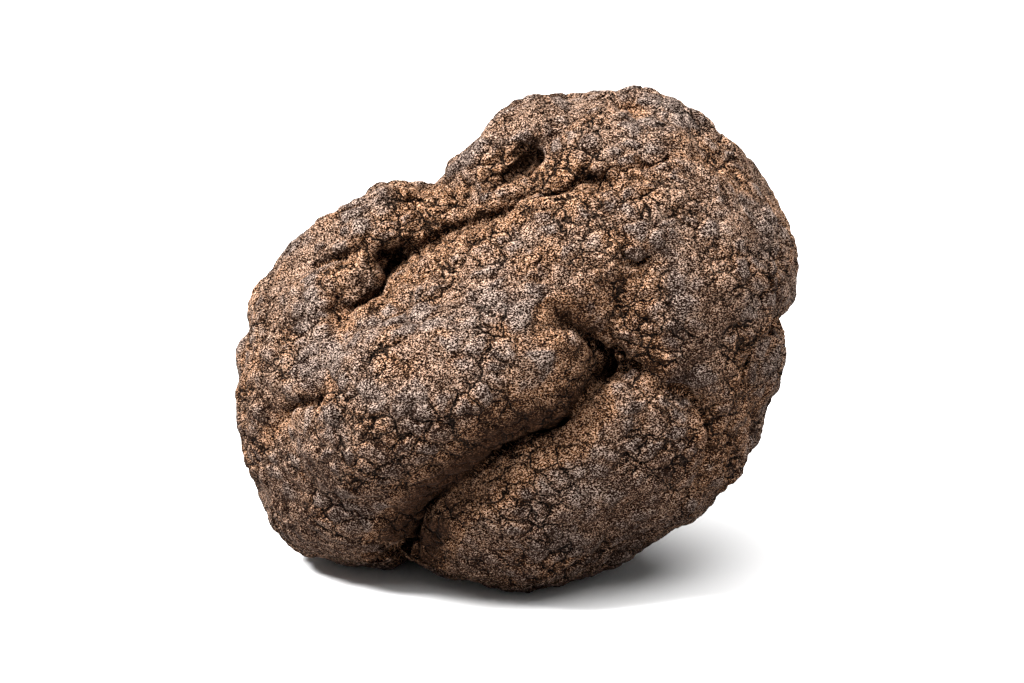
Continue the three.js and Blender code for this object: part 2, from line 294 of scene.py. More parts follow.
BOWL_IN_KNOB = Crease(
    Side.FACE,
    ((-1.6, 14.2, 0.0, 0.6), (0.0, 15.6, 0.0, 1.8), (1.2, 16.8, 0.0, 1.8), (1.8, 17.8, 0.0, 0.6)),
    valley=(0.9, 0.9),
)
FINE_FOLDS = (
    Crease(
        Side.FACE,
        (
            (14.4, -7.6, 0.3, 0.2),
            (18.0, -8.4, 0.6, 0.6),
            (20.1, -10.6, 0.8, 0.8),
            (20.9, -13.8, 0.8, 0.8),
            (20.7, -17.8, 0.5, 0.3),
        ),
    ),
    Crease(
        Side.FACE,
        (
            (28.6, -1.0, 0.5, 0.4),
            (26.6, -2.9, 1.0, 1.1),
            (25.2, -5.1, 0.9, 0.9),
            (24.5, -7.8, 0.8, 0.6),
            (24.2, -10.5, 0.4, 0.2),
        ),
    ),
    Crease(Side.FACE, ((23.4, -11.6, 0.4, 0.4), (23.1, -15.4, 0.8, 0.8), (22.0, -19.0, 0.3, 0.3))),
    Crease(Side.FACE, ((26.3, -9.4, 0.4, 0.4), (25.6, -11.4, 0.8, 0.8), (24.5, -13.7, 0.4, 0.3))),
    Crease(
        Side.FACE,
        ((12.8, 17.4, 0.5, 0.4), (13.7, 16.0, 0.9, 0.9), (15.8, 16.3, 1.0, 1.0), (17.1, 17.4, 0.6, 0.4)),
    ),
    Crease(
        Side.FACE,
        ((18.0, 17.6, 0.5, 0.4), (20.0, 16.4, 0.9, 0.8), (22.3, 15.2, 0.9, 0.7), (25.6, 13.6, 0.5, 0.3)),
    ),
    Crease(
        Side.FACE,
        ((11.2, 7.4, 0.5, 0.4), (11.7, 5.7, 0.9, 0.9), (13.9, 5.5, 1.0, 1.0), (14.4, 6.8, 0.6, 0.4)),
    ),
    Crease(Side.FACE, ((-12.6, 12.4, 0.5, 0.3), (-9.0, 12.9, 0.9, 0.7), (-5.3, 12.6, 0.5, 0.3))),
    Crease(Side.FACE, ((2.0, 4.1, 0.5, 0.4), (2.4, 5.4, 0.9, 0.9), (3.6, 6.8, 0.6, 0.3))),
    Crease(Side.FACE, ((8.3, 3.8, 0.5, 0.4), (8.8, 2.8, 0.9, 0.8), (9.5, 1.6, 0.5, 0.3))),
)
OTHER_CREASES = (
    Crease(Side.FACE, ((-14.0, 11.0, 0.4, 0.1), (-10.0, 11.7, 0.9, 0.3), (-6.7, 11.6, 0.5, 0.1))),
    Crease(Side.FACE, ((12.5, 22.8, 0.5, 0.5), (13.2, 22.4, 0.5, 0.8))),
    Crease(Side.FACE, ((-25.0, 4.2, 0.4, 0.0), (-21.0, 5.6, 0.9, 0.3), (-17.0, 6.7, 0.9, 0.5))),
    Crease(
        Side.FACE,
        (
            (-20.5, -7.9, 0.6, 0.3),
            (-21.0, -9.4, 0.8, 0.5),
            (-23.5, -9.9, 0.8, 0.5),
            (-25.4, -12.1, 0.5, 0.2),
        ),
    ),
    Crease(
        Side.RIGHT,
        (
            (13.0, 7.0, 0.4, 0.0),
            (7.6, 3.0, 0.7, 0.3),
            (1.6, -0.2, 0.5, 0.1),
            (-4.0, -1.2, 0.5, 0.2),
            (-8.2, -1.6, 0.4, 0.1),
        ),
    ),
    Crease(
        Side.BACK,
        (
            (-20.0, -10.4, 0.5, 0.1),
            (-14.6, -8.6, 0.9, 0.6),
            (-9.0, -9.2, 1.0, 1.2),
            (-3.4, -7.6, 0.9, 0.7),
            (0.6, -3.2, 1.0, 0.9),
            (2.4, 2.6, 0.9, 1.6),
            (1.2, 8.4, 0.9, 0.6),
            (3.4, 13.6, 0.5, 0.1),
        ),
    ),
    Crease(
        Side.BACK,
        ((-3.8, -7.8, 0.8, 0.5), (-1.2, -12.6, 1.0, 0.9), (1.4, -18.0, 0.8, 0.4), (2.0, -23.0, 0.5, 0.1)),
    ),
    Crease(Side.BACK, ((14.2, -1.8, 0.5, 0.2), (16.4, 0.4, 0.7, 1.4), (16.0, 3.2, 0.5, 0.2))),
    Crease(
        Side.BACK,
        ((-19.4, 9.6, 0.4, 0.1), (-14.2, 11.4, 0.9, 0.5), (-9.6, 10.0, 1.0, 0.8), (-6.2, 11.8, 0.5, 0.1)),
    ),
    Crease(
        Side.LEFT,
        ((-12.6, 3.6, 0.5, 0.2), (-8.0, 0.8, 0.9, 0.8), (-3.2, -1.4, 0.8, 0.4), (0.4, -6.0, 0.5, 0.2)),
    ),
    Crease(
        Side.TOP,
        ((-8.6, 8.6, 0.6, 0.2), (-2.6, 10.4, 0.9, 0.8), (3.6, 8.8, 0.9, 0.9), (8.8, 11.6, 0.5, 0.1)),
    ),
)


@dataclass
class Creases:
    """All the narrow creases, drawn in where the lobes press against each other.

    Lengths are in millimetres and the lean is in degrees. The creases are laid out round the middle, before
    the face leans back, and growth fits them to the size of the solid. A sheet hangs along each crease, from
    outside the skin to inside it. Facing turns it from 0, square through the skin, to 1, straight in from its
    side.
    """

    creases: tuple[Crease, ...] = (
        SEAM_UNDER_FINGER,
        SEAM_BETWEEN_FEET,
        PIT_RIGHT_END,
        PIT_ABOVE_FINGER_END,
        PIT_BESIDE_FINGER_END,
        VALLEY_ABOVE_PIT,
        SEAM_OVER_FINGER,
        PIT_LEFT_OF_SEAM,
        HOOK_ROUND_KNOB,
        BOWL_IN_KNOB,
        *FINE_FOLDS,
        *OTHER_CREASES,
    )
    middle: tuple[float, float, float] = (0.1, -1.76, 29.52)
    lean: float = 14
    growth: float = 1.03
    stops_between: int = 5
    fading_stops: int = 3
    reach: float = 60
    outside: float = 7
    inside: float = 4
    facing: float = 0.75
    walls_drawn: Ramp = Ramp(0.9, 4.0, 0.72, 0.0)
    cut_half_width: float = 1.2
    valley_half_width: float = 6.5
    valley_depth: float = 1.2

    def pull_in(self, skin: bpy.types.Object) -> None:
        """Draws the walls of every crease together and cuts its bottom deeper.

        Args:
            skin: The skin piece, before its warts are raised.
        """
        sheets = self.hang_sheets(skin)
        apply_modifier(skin, "NODES", {"node_group": self.tree(sheets)})
        bpy.data.objects.remove(sheets)

    def hang_sheets(self, skin: bpy.types.Object) -> bpy.types.Object:
        """Hangs a thin sheet along every crease, through the skin, for the walls to be drawn towards.

        Args:
            skin: The skin piece.

        Returns:
            One object with all the sheets, with pinch, cut, valley and the way inwards at each point.
        """
        points, faces, pinches, cuts, valleys, inwards = [], [], [], [], [], []
        for crease in self.creases:
            row = []
            stops = self.stops(crease.route)
            valley, last_valley = crease.valley
            for index, (right, up, pinch, cut) in enumerate(stops):
                touch = self.touch(skin, crease.side, right, up)
                if touch is None:
                    continue
                spot, inward = touch
                row.append(len(points))
                points += [spot - inward * self.outside * MM, spot + inward * self.inside * MM]
                pinches += [pinch, pinch]
                cuts += [cut, cut]
                valleys += 2 * [valley + (last_valley - valley) * index / len(stops)]
                inwards += [inward, inward]
            faces += [(a, b, b + 1, a + 1) for a, b in zip(row, row[1:])]
        mesh = bpy.data.meshes.new("crease_sheets")
        mesh.from_pydata(points, [], faces)
        for trait, values in ((Trait.PINCH, pinches), (Trait.CUT, cuts), (Trait.VALLEY, valleys)):
            mesh.attributes.new(trait.label, "FLOAT", "POINT").data.foreach_set("value", values)
        ways = mesh.attributes.new(Trait.INWARD.label, "FLOAT_VECTOR", "POINT")
        ways.data.foreach_set("vector", [part for way in inwards for part in way])
        sheets = bpy.data.objects.new("crease_sheets", mesh)
        bpy.context.scene.collection.objects.link(sheets)
        return sheets

    def stops(self, route: tuple[Place, ...]) -> list[Place]:
        """Rounds a route off with stops between its places, and fades its pinch and cut out at the ends.

        Args:
            route: The places of right, up, pinch and cut.

        Returns:
            The stops, in the same form.
        """
        places = [Vector(place) for place in route]
        places = [2 * places[0] - places[1], *places, 2 * places[-1] - places[-2]]
        rounded = []
        # Each stretch between two places is a Catmull-Rom curve, which also heeds the place on either side.
        for before, start, end, after in zip(places, places[1:], places[2:], places[3:]):
            for step in range(self.stops_between):
                t = step / self.stops_between
                bend = (end - before) * t + (2 * before - 5 * start + 4 * end - after) * t**2
                rounded.append(start + (bend + (3 * start - before - 3 * end + after) * t**3) / 2)
        rounded.append(places[-2])
        last = len(rounded) - 1
        fade = [min(1.0, i / self.fading_stops, (last - i) / self.fading_stops) for i in range(last + 1)]
        return [(x, y, max(pinch, 0) * f, max(cut, 0) * f) for (x, y, pinch, cut), f in zip(rounded, fade)]

    def touch(
        self, skin: bpy.types.Object, side: Side, right: float, up: float
    ) -> tuple[Vector, Vector] | None:
        """Finds where a place laid out on a side lies on the skin.

        Args:
            skin: The skin piece.
            side: The side that the place is laid out on.
            right: How far right it is.
            up: How far up it is.

        Returns:
            The spot on the skin in metres and the way inwards, or None where the place is off the skin.
        """
        lean = Matrix.Rotation(math.radians(90 - self.lean), 3, "X")
        rightward, upward, outward = [lean @ Vector(way) for way in side.value]
        start = Vector(self.middle) + (rightward * right + upward * up) * self.growth + outward * self.reach
        hit, spot, normal, _ = skin.ray_cast(start * MM, -outward)
        if not hit:
            return None
        return spot, -normal.lerp(outward, self.facing).normalized()

    def tree(self, sheets: bpy.types.Object) -> bpy.types.NodeTree:
        """Builds the geometry nodes that draw the walls together.

        Args:
            sheets: The sheets along the creases.

        Returns:
            The geometry node tree.
        """
        tree = new_geometry_tree("crease_pinch")
        skin = add_node(tree, "NodeGroupInput")
        spot = add_node(tree, POSITION)
        hung = add_node(tree, "GeometryNodeObjectInfo", {"Object": sheets}).outputs["Geometry"]
        around = {"Geometry": hung, "Sample Position": spot}
        near = add_node(tree, "GeometryNodeProximity", {"target_element": "FACES"}, around)
        away = add_node(tree, MATH, {"operation": "MULTIPLY", 1: 1 / MM}, {0: near.outputs["Distance"]})
        pinch, cut, valley, inward = [
            self.read_nearest(tree, hung, spot, trait)
            for trait in (Trait.PINCH, Trait.CUT, Trait.VALLEY, Trait.INWARD)
        ]
        drawn = add_node(tree, MAP_RANGE, self.walls_drawn.settings, {"Value": away})
        share = add_node(tree, MATH, {"operation": "MULTIPLY"}, {0: drawn, 1: pinch})
        toward = add_node(tree, VECTOR_MATH, {"operation": "SUBTRACT"}, {0: near, 1: spot})
        aside = add_node(tree, VECTOR_MATH, {"operation": "SCALE"}, {0: toward, "Scale": share})
        bottom = add_node(tree, MAP_RANGE, Ramp(0.0, self.cut_half_width, MM, 0.0).settings, {"Value": away})
        cut_in = add_node(tree, MATH, {"operation": "MULTIPLY"}, {0: bottom, 1: cut})
        banks = Ramp(0.0, self.valley_half_width, 1.0, 0.0)
        beside = add_node(tree, MAP_RANGE, banks.settings, {"Value": away})
        sunk = add_node(tree, MATH, {"operation": "MULTIPLY"}, {0: beside, 1: valley})
        deepened = {"operation": "MULTIPLY_ADD", 1: self.valley_depth * MM}
        depth = add_node(tree, MATH, deepened, {0: sunk, 2: cut_in})
        down = add_node(tree, VECTOR_MATH, {"operation": "SCALE"}, {0: inward, "Scale": depth})
        offset = add_node(tree, VECTOR_MATH, {"operation": "ADD"}, {0: aside, 1: down})
        moved = add_node(tree, SET_POSITION, links={"Geometry": skin, "Offset": offset})
        kept = add_node(tree, STORE, Trait.VALLEY.settings, {"Geometry": moved, "Value": sunk})
        add_node(tree, "NodeGroupOutput", links={0: kept})
        return tree

    def read_nearest(self, tree: bpy.types.NodeTree, hung: Feed, spot: Feed, trait: Trait) -> Feed:
        """Reads a trait off the sheets at the place on them that is nearest to a spot."""
        value = add_node(tree, "GeometryNodeInputNamedAttribute", trait.settings)
        form = {"data_type": trait.settings["data_type"]}
        nearest = {"Mesh": hung, "Value": value, "Sample Position": spot}
        return add_node(tree, "GeometryNodeSampleNearestSurface", form, nearest)


@dataclass(frozen=True)
class Warts:
    """The low many-sided warts that cover the skin, with cracks between some. Lengths are in millimetres.

    Dome is how far in from its edge a wart rises, as a share of its width. Unevenness is how much lower the
    lowest warts are, and lying down is how many times wider than tall they are.
    """

    spacing: float = 2.8
    height: float = 0.36
    dome: tuple[float, float] = (-0.06, 0.34)
    unevenness: float = 0.6
    wander_spacing: float = 1.4
    wander: float = 0.75
    crack_width: float = 0.3
    crack_depth: float = 0.35
    crack_patch: float = 7
    gaping: Ramp = Ramp(0.42, 0.62, 0.15, 1.0)
    lying_down: float = 1.3

    def lay(self, tree: bpy.types.NodeTree, place: Feed) -> tuple[bpy.types.Node, bpy.types.Node]:
        """Lays out the warts and the cracks between them.

        Args:
            tree: The tree of the relief or of the finish.
            place: The place on the bare skin in millimetres.

        Returns:
            The height in millimetres, and how far down a crack a place is, from 0 to 1.
        """
        crooked = self.bend(tree, place)
        edge, cell = [
            add_node(tree, VORONOI, {"feature": feature, "Scale": 1 / self.spacing}, {"Vector": crooked})
            for feature in ("DISTANCE_TO_EDGE", "F1")
        ]
        dome = add_node(tree, MAP_RANGE, Ramp(*self.dome, 0.0, self.height).settings, {"Value": edge})
        heights = Ramp(0.0, 1.0, 1 - self.unevenness, 1.0)
        tall = add_node(tree, MAP_RANGE, heights.settings, {"Value": cell.outputs["Color"]})
        uneven = add_node(tree, MATH, {"operation": "MULTIPLY"}, {0: dome, 1: tall})
        sides = Ramp(0.0, 0.5 * self.crack_width / self.spacing, 1.0, 0.0)
        gap = add_node(tree, MAP_RANGE, sides.settings, {"Value": edge})
        where = add_node(tree, NOISE, {"Scale": 1 / self.crack_patch, "Detail": 3.0}, {"Vector": place})
        gaping = add_node(tree, MAP_RANGE, self.gaping.settings, {"Value": where})
        crack = add_node(tree, MATH, {"operation": "MULTIPLY"}, {0: gap, 1: gaping})
        sunk = {"operation": "MULTIPLY_ADD", 1: -self.crack_depth}
        return add_node(tree, MATH, sunk, {0: crack, 2: uneven}), crack

    def bend(self, tree: bpy.types.NodeTree, place: Feed) -> bpy.types.Node:
        """Shifts a place to and fro, so that the warts' edges wander, and squashes the warts."""
        noise = add_node(tree, NOISE, {"Scale": 1 / self.wander_spacing, "Detail": 1.0}, {"Vector": place})
        middle = {"operation": "SUBTRACT", 1: (0.5, 0.5, 0.5)}
        centred = add_node(tree, VECTOR_MATH, middle, {0: noise.outputs["Color"]})
        shift = add_node(tree, VECTOR_MATH, {"operation": "SCALE", "Scale": 2 * self.wander}, {0: centred})
        crooked = add_node(tree, VECTOR_MATH, {"operation": "ADD"}, {0: place, 1: shift})
        squashed = {"operation": "MULTIPLY", 1: (1, 1, self.lying_down)}
        return add_node(tree, VECTOR_MATH, squashed, {0: crooked})


@dataclass(frozen=True)
class Granules:
    """The granules that the skin is heaped up from, in two sizes, with wrinkles. Lengths are in millimetres.

    Wander is how far a granule's edge bends and bends is how often, for a granule one millimetre wide.
    Smaller is how many times smaller the granules are that each one carries. Real grain is 0.05 to 0.1 mm
    wide, which is too fine to show, so the wrinkles stand in for it and are drawn at about twice that.
    """

    coarse_spacing: float = 1.8
    coarse_height: float = 1.1
    fine_spacing: float = 0.5
    fine_height: float = 0.14
    wander: float = 1.2
    bends: float = 1.4
    smaller: float = 2.2
    roundness: float = 1.5
    wrinkle_spacing: float = 0.17
    wrinkle_height: float = 0.62
    wrinkle_detail: float = 0.6
    wrinkle_winding: float = 0.8
    lying_down: float = 1.4

    def heap(self, tree: bpy.types.NodeTree, place: Feed, spacing: float, height: float) -> bpy.types.Node:
        """Heaps up granules that carry smaller ones: rounded lumps with sharp crevices between.

        Args:
            tree: The tree of the relief or of the finish.
            place: The place on the bare skin in millimetres.
            spacing: How far apart the larger granules are.
            height: How high a granule would stand over a place as far from all granules as can be.

        Returns:
            The height in millimetres below the tip of the tallest granule, so never above nought.
        """
        noise = add_node(tree, NOISE, {"Scale": self.bends / spacing, "Detail": 1.0}, {"Vector": place})
        far = {"operation": "SCALE", "Scale": self.wander * spacing}
        shift = add_node(tree, VECTOR_MATH, far, {0: noise.outputs["Color"]})
        crooked = add_node(tree, VECTOR_MATH, {"operation": "ADD"}, {0: place, 1: shift})
        lumps = {"normalize": True, "Scale": 1 / spacing}
        smaller_lumps = {"Detail": 1.0, "Roughness": 0.5, "Lacunarity": self.smaller}
        away = add_node(tree, VORONOI, {**lumps, **smaller_lumps}, {"Vector": crooked})
        below = add_node(tree, MATH, {"operation": "POWER", 1: self.roundness}, {0: away})
        return add_node(tree, MATH, {"operation": "MULTIPLY", 1: -height}, {0: below})

    def lay_coarse(self, tree: bpy.types.NodeTree, place: Feed) -> bpy.types.Node:
        """Heaps up the granules that stand out from the skin."""
        return self.heap(tree, place, self.coarse_spacing, self.coarse_height)

    def lay_fine(self, tree: bpy.types.NodeTree, place: Feed) -> bpy.types.Node:
        """Heaps up the finest granules, with winding wrinkles over them."""
        squashed = {"operation": "MULTIPLY", 1: (1, 1, self.lying_down)}
        lying = add_node(tree, VECTOR_MATH, squashed, {0: place})
        winding = {
            "Scale": 1 / self.wrinkle_spacing,
            "Detail": self.wrinkle_detail,
            "Distortion": self.wrinkle_winding,
        }
        wrinkle = add_node(tree, NOISE, winding, {"Vector": lying})
        heaped = self.heap(tree, place, self.fine_spacing, self.fine_height)
        raised = {"operation": "MULTIPLY_ADD", 1: self.wrinkle_height}
        return add_node(tree, MATH, raised, {0: wrinkle, 2: heaped})


@dataclass
class Relief:
    """The relief of the skin, made as a tree of geometry nodes. Lengths are in millimetres.

    Swell turns a noise into broad low swellings. Fold gain is how much deeper each hollow gets, and granule
    share is how much of the coarse granules' height is in the mesh. The finish adds the finer ones.
    """

    warts: Warts = field(default_factory=Warts)
    granules: Granules = field(default_factory=Granules)
    swell_spacing: float = 6.5
    swell: Ramp = Ramp(0.2, 0.8, -0.225, 0.225)
    hollow_rounds: int = 60
    fold_gain: float = 0.4
    granule_share: float = 0.5
    # The lowest that a point may be, in metres. No point is a metre out to the left or the front.
    lowest: tuple[float, float, float] = (-1.0, -1.0, 0.0)

    def tree(self) -> bpy.types.NodeTree:
        """Builds the tree that raises the relief and stores its traits.

        Returns:
            The geometry node tree.
        """
        tree = new_geometry_tree("skin_relief")
        skin = add_node(tree, "NodeGroupInput")
        spot = add_node(tree, POSITION)
        place = add_node(tree, VECTOR_MATH, {"operation": "SCALE", "Scale": 1 / MM}, {0: spot})
        outward = add_node(tree, "GeometryNodeInputNormal")
        hollow = self.hollow(tree, place, outward)
        height = self.height(tree, place, hollow)
        metres = add_node(tree, MATH, {"operation": "MULTIPLY", 1: MM}, {0: height})
        offset = add_node(tree, VECTOR_MATH, {"operation": "SCALE"}, {0: outward, "Scale": metres})
        bare = add_node(tree, STORE, Trait.BARE.settings, {"Geometry": skin, "Value": place})
        sunken = add_node(tree, STORE, Trait.HOLLOW.settings, {"Geometry": bare, "Value": hollow})
        raised = add_node(tree, SET_POSITION, links={"Geometry": sunken, "Offset": offset})
        rested = self.press_flat(tree, raised)
        upward = add_node(tree, "ShaderNodeSeparateXYZ", links={0: outward}).outputs["Z"]
        kept = add_node(tree, STORE, Trait.UPWARD.settings, {"Geometry": rested, "Value": upward})
        add_node(tree, "NodeGroupOutput", links={0: kept})
        return tree

    def hollow(self, tree: bpy.types.NodeTree, place: Feed, outward: Feed) -> bpy.types.Node:
        """Finds how far a place lies below the skin round it, in millimetres; nought on a crest."""
        evened = {"data_type": "FLOAT_VECTOR", "Iterations": self.hollow_rounds}
        around = add_node(tree, "GeometryNodeBlurAttribute", evened, {"Value": place})
        above = add_node(tree, VECTOR_MATH, {"operation": "SUBTRACT"}, {0: around, 1: place})
        depth = add_node(tree, VECTOR_MATH, {"operation": "DOT_PRODUCT"}, {0: above, 1: outward})
        return add_node(tree, MATH, {"operation": "MAXIMUM", 1: 0.0}, {0: depth.outputs["Value"]})

    def height(self, tree: bpy.types.NodeTree, place: Feed, hollow: Feed) -> bpy.types.Node:
        """Adds up all that raises or sinks a place on the skin, in millimetres."""
        height = add_node(tree, MATH, {"operation": "MULTIPLY", 1: -self.fold_gain}, {0: hollow})
        noise = add_node(tree, NOISE, {"Scale": 1 / self.swell_spacing, "Detail": 1.0}, {"Vector": place})
        swell = add_node(tree, MAP_RANGE, self.swell.settings, {"Value": noise})
        heaped = self.granules.lay_coarse(tree, place)
        granules = add_node(tree, MATH, {"operation": "MULTIPLY", 1: self.granule_share}, {0: heaped})
        warts, _ = self.warts.lay(tree, place)
        for layer in (warts, granules, swell):
            height = add_node(tree, MATH, {"operation": "ADD"}, {0: height, 1: layer})
        return height

    def press_flat(self, tree: bpy.types.NodeTree, skin: Feed) -> bpy.types.Node:
        """Presses what would reach below the floor flat onto it."""
        spot = add_node(tree, POSITION)
        above = add_node(tree, VECTOR_MATH, {"operation": "MAXIMUM", 1: self.lowest}, {0: spot})
        return add_node(tree, SET_POSITION, links={"Geometry": skin, "Position": above})


@dataclass(frozen=True)
class Coat:
    """One coat over the skin: its colour in linear light, where it lies, and how it mixes with the last."""

    colour: tuple[float, float, float, float]
    share: Feed
    mixing: str = "MIX"


@dataclass(frozen=True)
class SkinMap:
    """What the finish knows of each place on the skin, as what feeds it. Lengths are in millimetres.

    Place, hollow, upward and valley come from the mesh. Wart, coarse and fine are heights, and crack is how
    far down a crack the place is. Grain is the height of the finest grain, sunk underneath for painted shade.
    """

    place: Feed
    hollow: Feed
    upward: Feed
    valley: Feed
    wart: Feed
    crack: Feed
    coarse: Feed
    fine: Feed
    grain: Feed


@dataclass(frozen=True)
class BrushedPeridium:
    """The skin of a ripe black truffle, lifted from the soil and brushed clean. Lengths are in millimetres.

    The skin is a dry crust of tiny hard granules. To the eye it is dead matt and sparkles nowhere, with brown
    and grey warts in patches and tan soil dust in the hollows. Over that lie pale tips, partly wear and
    partly painted highlight and sheen, dark soil with painted shade down the valleys, painted shade on the
    underside, and near-black painted shade in the crevices and cracks.
    """

    warts: Warts = field(default_factory=Warts)
    granules: Granules = field(default_factory=Granules)
    wart_brown: str = "#78533c"
    wart_grey: str = "#68554f"
    dust: str = "#8e5b31"
    # Pale tips: partly wear, partly painted sheen.
    worn_and_sheen_tip: str = "#b3a393"
    # Painted shade, near black, down the cracks and in the crevices.
    crack_shade: str = "#0c0705"
    crevice_shade: str = "#150903"
    # Dark soil and painted shade.
    soil_and_shade_brown: str = "#28150a"
    # Painted shade on the underside.
    underside_shade: str = "#1f0f06"
    # A dry organic crust. Its granules trap nearly all the gloss, so little of the usual reflection is left.
    roughness: float = 0.92
    ior: float = 1.45
    gloss_left: float = 0.05
    # The wrinkled grain: what the granules add to it, and how far it sinks underneath for painted shade.
    coarse_in_grain: float = 0.16
    shade_in_grain: Ramp = Ramp(-0.5, 0.5, -0.02, 0.0)
    # The bump: how much of the fine grain's height is in it, and how many times the warts'.
    fine_bump: float = 0.35
    wart_bump: float = 2.2
    # The patches of brown and grey, with grey on the tops of the warts.
    patch: float = 8
    grey_on_tops: tuple[float, float] = (-0.08, 0.12)
    greyness: Ramp = Ramp(0.38, 0.62)
    # The dust: in drifts on the open skin, in hollows, along valleys and between warts.
    dust_patch: float = 7
    dust_in_hollows: Ramp = Ramp(0.0, 0.5, 0.0, 0.2)
    dust_in_valleys: Ramp = Ramp(0.1, 0.5, 0.0, 0.33)
    dust_between_warts: tuple[float, float] = (0.07, -0.07)
    dust_cover: Ramp = Ramp(0.52, 0.77, 0.0, 0.95)
    # Grain tips: a painted highlight brightens them, and a pale coat, partly wear and partly painted sheen.
    tip_highlight_gain: float = 2.2
    tips_highlighted: Ramp = Ramp(0.27, 0.34)
    tips_worn_and_sheen: Ramp = Ramp(0.27, 0.35, 0.0, 0.6)
    # Painted shade underneath; dark soil and painted shade in valleys, under overhangs and in deep hollows.
    shade_underneath: Ramp = Ramp(-0.5, 0.5, 0.6, 0.0)
    soil_and_shade_in_valleys: Ramp = Ramp(0.3, 1.1, 0.0, 0.9)
    shade_on_overhangs: Ramp = Ramp(-0.2, 0.9, 1.0, 0.4)
    soil_and_shade_in_hollows: Ramp = Ramp(0.5, 1.6, 0.0, 0.9)
    # Near-black painted shade: between the wrinkles, between the granules, and down the cracks.
    shade_between_wrinkles: Ramp = Ramp(0.25, 0.31, 1.0, 0.0)
    shade_between_granules: Ramp = Ramp(-0.52, -0.15, 0.8, 0.0)
    shade_down_cracks: Ramp = Ramp(0.1, 0.8, 0.0, 0.9)

    def material(self) -> bpy.types.Material:
        """Makes the material.

        Returns:
            The material, for the skin piece.
        """
        material = bpy.data.materials.new("brushed_peridium")
        material.use_nodes = True
        tree = material.node_tree
        shader = tree.nodes["Principled BSDF"]
        shader.inputs["Roughness"].default_value = self.roughness
        shader.inputs["IOR"].default_value = self.ior
        shader.inputs["Specular IOR Level"].default_value = self.gloss_left
        here = self.read(tree)
        skin = self.clean_skin(tree, here)
        for coat in self.coats(tree, here):
            settings = {"data_type": "RGBA", "blend_type": coat.mixing, MIX_OVER: coat.colour}
            links = {MIX_SHARE: coat.share, MIX_UNDER: skin.outputs[MIX_RESULT]}
            skin = add_node(tree, MIX, settings, links)
        tree.links.new(skin.outputs[MIX_RESULT], shader.inputs["Base Color"])
        relief = here.coarse
        for layer, share in ((here.fine, self.fine_bump), (here.wart, self.wart_bump)):
            relief = add_node(tree, MATH, {"operation": "MULTIPLY_ADD", 1: share}, {0: layer, 2: relief})
        bump = add_node(tree, "ShaderNodeBump", {"Strength": 1.0, "Distance": MM}, {"Height": relief})
        tree.links.new(bump.outputs["Normal"], shader.inputs["Normal"])
        return material

    def read(self, tree: bpy.types.NodeTree) -> SkinMap:
        """Reads the traits that the mesh keeps, and lays the warts and the granules out over them."""
        place, hollow, upward, valley = [
            add_node(tree, "ShaderNodeAttribute", {"attribute_name": trait.label}).outputs[output]
            for trait, output in (
                (Trait.BARE, "Vector"),
                (Trait.HOLLOW, "Fac"),
                (Trait.UPWARD, "Fac"),
                (Trait.VALLEY, "Fac"),
            )
        ]
        wart, crack = self.warts.lay(tree, place)
        coarse = self.granules.lay_coarse(tree, place)
        fine = self.granules.lay_fine(tree, place)
        both = {"operation": "MULTIPLY_ADD", 1: self.coarse_in_grain}
        clean = add_node(tree, MATH, both, {0: coarse, 2: fine})
        # The grain sinks on the underside, which spreads the painted shade between its wrinkles.
        soil = add_node(tree, MAP_RANGE, self.shade_in_grain.settings, {"Value": upward})
        grain = add_node(tree, MATH, {"operation": "ADD"}, {0: clean, 1: soil})
        return SkinMap(place, hollow, upward, valley, wart, crack, coarse, fine, grain)

    def clean_skin(self, tree: bpy.types.NodeTree, here: SkinMap) -> bpy.types.Node:
        """Colours the skin brown and grey in patches a few warts wide, greyer on the tops of the warts."""
        cloudy = {"Scale": 1 / self.patch, "Detail": 3.0, "Roughness": 0.5}
        patches = add_node(tree, NOISE, cloudy, {"Vector": here.place})
        tops = Ramp(0.0, self.warts.height, *self.grey_on_tops)
        top = add_node(tree, MAP_RANGE, tops.settings, {"Value": here.wart})
        amount = add_node(tree, MATH, {"operation": "ADD"}, {0: patches, 1: top})
        grey = add_node(tree, MAP_RANGE, self.greyness.settings, {"Value": amount})
        tones = {"data_type": "RGBA", MIX_UNDER: linear(self.wart_brown), MIX_OVER: linear(self.wart_grey)}
        return add_node(tree, MIX, tones, {MIX_SHARE: grey})

    def coats(self, tree: bpy.types.NodeTree, here: SkinMap) -> list[Coat]:
        """Lists the coats over the clean skin, from the first to the last."""
        gain = (self.tip_highlight_gain, self.tip_highlight_gain, self.tip_highlight_gain, 1.0)
        highlighted, worn_and_sheen, underneath, wrinkles, granules, cracks = [
            add_node(tree, MAP_RANGE, ramp.settings, {"Value": value})
            for ramp, value in (
                (self.tips_highlighted, here.grain),
                (self.tips_worn_and_sheen, here.grain),
                (self.shade_underneath, here.upward),
                (self.shade_between_wrinkles, here.grain),
                (self.shade_between_granules, here.coarse),
                (self.shade_down_cracks, here.crack),
            )
        ]
        return [
            Coat(linear(self.dust), self.dusty(tree, here)),
            # Painted highlight: the grain's tips brightened.
            Coat(gain, highlighted, "MULTIPLY"),
            # Pale tips: partly wear, partly painted sheen.
            Coat(linear(self.worn_and_sheen_tip), worn_and_sheen),
            # Painted shade on the underside.
            Coat(linear(self.underside_shade), underneath),
            # Dark soil and painted shade in valleys, most under overhangs, and in deep hollows.
            Coat(linear(self.soil_and_shade_brown), self.soil_and_shade(tree, here)),
            # Near-black painted shade between wrinkles and granules and down the cracks.
            Coat(linear(self.crevice_shade), wrinkles),
            Coat(linear(self.crevice_shade), granules),
            Coat(linear(self.crack_shade), cracks),
        ]

